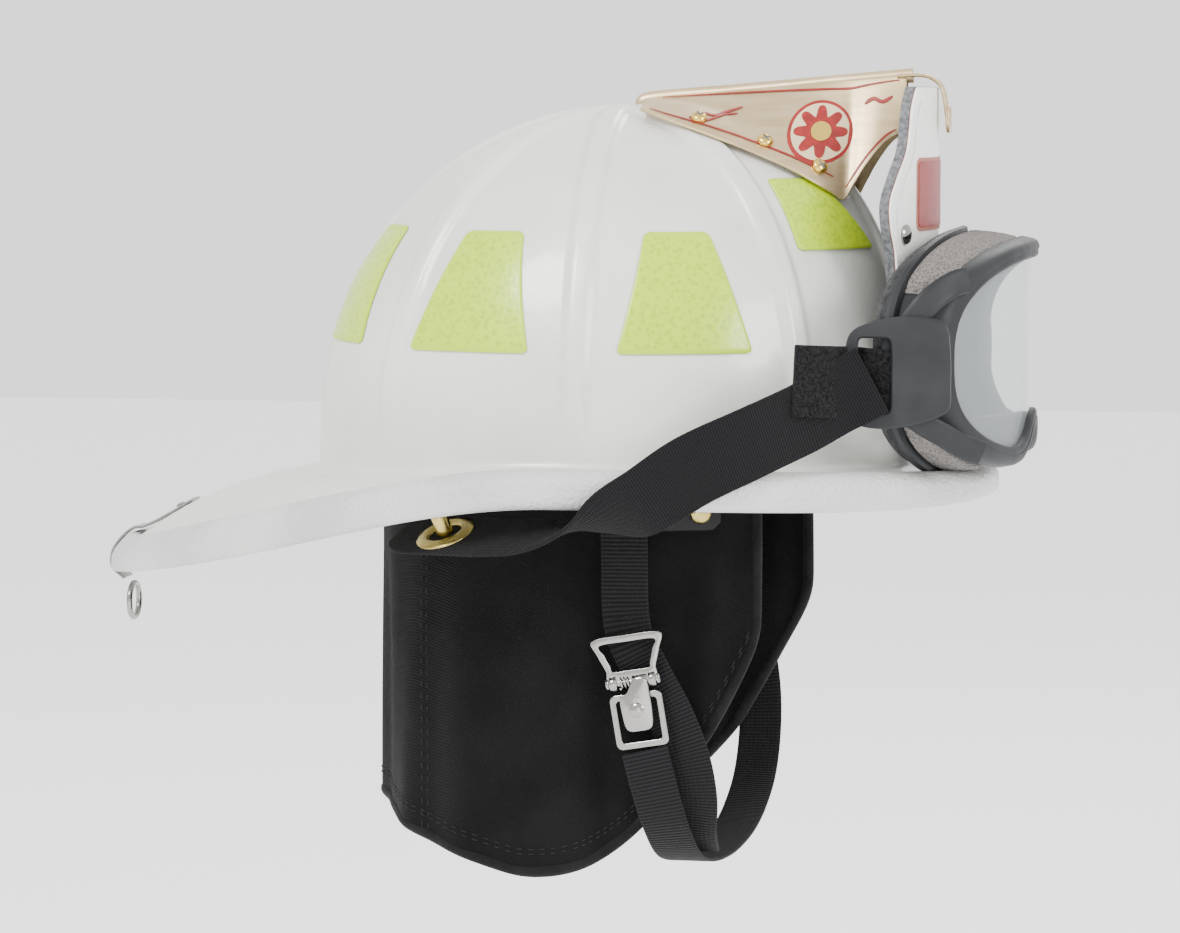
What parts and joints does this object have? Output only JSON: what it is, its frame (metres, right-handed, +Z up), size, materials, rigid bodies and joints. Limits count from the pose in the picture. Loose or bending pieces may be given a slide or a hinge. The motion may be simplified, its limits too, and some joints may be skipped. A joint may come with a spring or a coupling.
{
  "type": "firefighter helmet",
  "caption": "Traditional wide-brim fire helmet with raised ribs, brass front holder, leather shield, goggles, quick-release chin strap, neck protector and ratchet suspension.",
  "frame": {"origin": "middle of the head opening, level with the foot of the dome", "axes": "+X to the wearer's front, +Y to the wearer's left, +Z up"},
  "size_m": [0.4009, 0.3078, 0.3291],
  "materials": {
    "shell_white": "glossy painted composite with faint moulded texture",
    "trim_white": "grained edge binding",
    "marker_lime": "prismatic retroreflective film, lime yellow",
    "brass": "pale lacquered brass with red pinstripes",
    "leather_white": "smooth painted leather with dark edges",
    "goggle_slate": "soft matte moulded rubber-like plastic",
    "foam_grey": "open-cell filter foam",
    "lens_clear": "clear polycarbonate",
    "elastic_black": "woven webbing",
    "cloth_black": "twill weave cloth with bound edge",
    "nickel": "bright nickel plating",
    "foam_black": "closed-cell foam",
    "band_black": "moulded polymer"
  },
  "bodies": {
    "helmet": {"anchor_rivet_left_1": "brass", "anchor_rivet_left_2": "brass", "anchor_rivet_right_1": "brass", "anchor_rivet_right_2": "brass", "brim_trim": "trim_white", "brow_pad": "foam_black", "chin_anchor_left": "nickel", "chin_anchor_right": "nickel", "crown_pad": "foam_black", "crown_strap_cross": "elastic_black", "crown_strap_fore_aft": "elastic_black", "front_holder": "brass", "front_shield": "leather_white", "goggle_strap_left": "elastic_black", "goggle_strap_right": "elastic_black", "hanger_bracket": "nickel", "headband": "band_black", "holder_screw_left_1": "brass", "holder_screw_left_2": "brass", "holder_screw_left_3": "brass", "holder_screw_right_1": "brass", "holder_screw_right_2": "brass", "holder_screw_right_3": "brass", "impact_cap": "foam_black", "marker_left_front": "marker_lime", "marker_left_mid_front": "marker_lime", "marker_left_mid_rear": "marker_lime", "marker_left_rear": "marker_lime", "marker_right_front": "marker_lime", "marker_right_mid_front": "marker_lime", "marker_right_mid_rear": "marker_lime", "marker_right_rear": "marker_lime", "nape_pad": "foam_black", "neck_protector": "cloth_black", "ratchet_housing": "band_black", "shell": "shell_white", "shield_rivet_left": "nickel", "shield_rivet_right": "nickel", "strap_grommet_left": "brass", "strap_grommet_right": "brass", "strap_post_left": "brass", "strap_post_right": "brass"},
    "goggles": {"goggle_frame": "goggle_slate", "goggle_lens": "lens_clear", "goggle_vent_foam": "foam_grey", "goggle_face_pad": "foam_black", "goggle_outrigger_right": "goggle_slate", "goggle_outrigger_left": "goggle_slate"},
    "ratchet_knob": {"ratchet_knob": "band_black"},
    "rack_right": {"rack_right": "band_black"},
    "rack_left": {"rack_left": "band_black"},
    "chin_strap": {"chin_hanger_strap": "elastic_black", "chin_strap": "elastic_black", "buckle_frame": "nickel", "buckle_pin": "nickel", "buckle_spring": "nickel", "buckle_hook": "nickel"},
    "buckle_lever": {"buckle_lever": "nickel"},
    "chin_slide": {"chin_slide": "band_black"},
    "hanger_ring": {"hanger_ring": "nickel"}
  },
  "joints": [
    {"name": "goggle_pull", "type": "slide", "parent": "helmet", "child": "goggles", "axis": [1, 0, 0], "range_m": [0, 0.024], "stiffness_N_per_m": 120},
    {"name": "ratchet_turn", "type": "hinge", "parent": "helmet", "child": "ratchet_knob", "pos_m": [-0.0965, 0, 0.014], "axis": [1, 0, 0], "range_deg": [-60, 60]},
    {"name": "rack_right_slide", "type": "slide", "parent": "helmet", "child": "rack_right", "axis": [0, -1, 0], "range_m": [-0.0065, 0.0065]},
    {"name": "rack_left_slide", "type": "slide", "parent": "helmet", "child": "rack_left", "axis": [0, 1, 0], "range_m": [-0.0065, 0.0065]},
    {"name": "chin_swing", "type": "hinge", "parent": "helmet", "child": "chin_strap", "pos_m": [0.02, 0, -0.01], "axis": [0, -1, 0], "range_deg": [0, 25]},
    {"name": "lever_lift", "type": "hinge", "parent": "chin_strap", "child": "buckle_lever", "pos_m": [0.02434, -0.1092, -0.07974], "axis": [-0.9863, 0, -0.165], "range_deg": [0, 40], "stiffness_Nm_per_rad": 0.01},
    {"name": "slide_adjust", "type": "slide", "parent": "chin_strap", "child": "chin_slide", "axis": [-0.1723, 0.0295, 0.9846], "range_m": [-0.006, 0.006]},
    {"name": "ring_swing", "type": "hinge", "parent": "helmet", "child": "hanger_ring", "pos_m": [-0.2155, 0, -0.0571], "axis": [0, 1, 0], "range_deg": [-70, 70]}
  ],
  "couplings": [
    {"joint": "rack_right_slide", "follows": "ratchet_turn", "m_per_rad": 0.00445},
    {"joint": "rack_left_slide", "follows": "ratchet_turn", "m_per_rad": 0.00445}
  ]
}
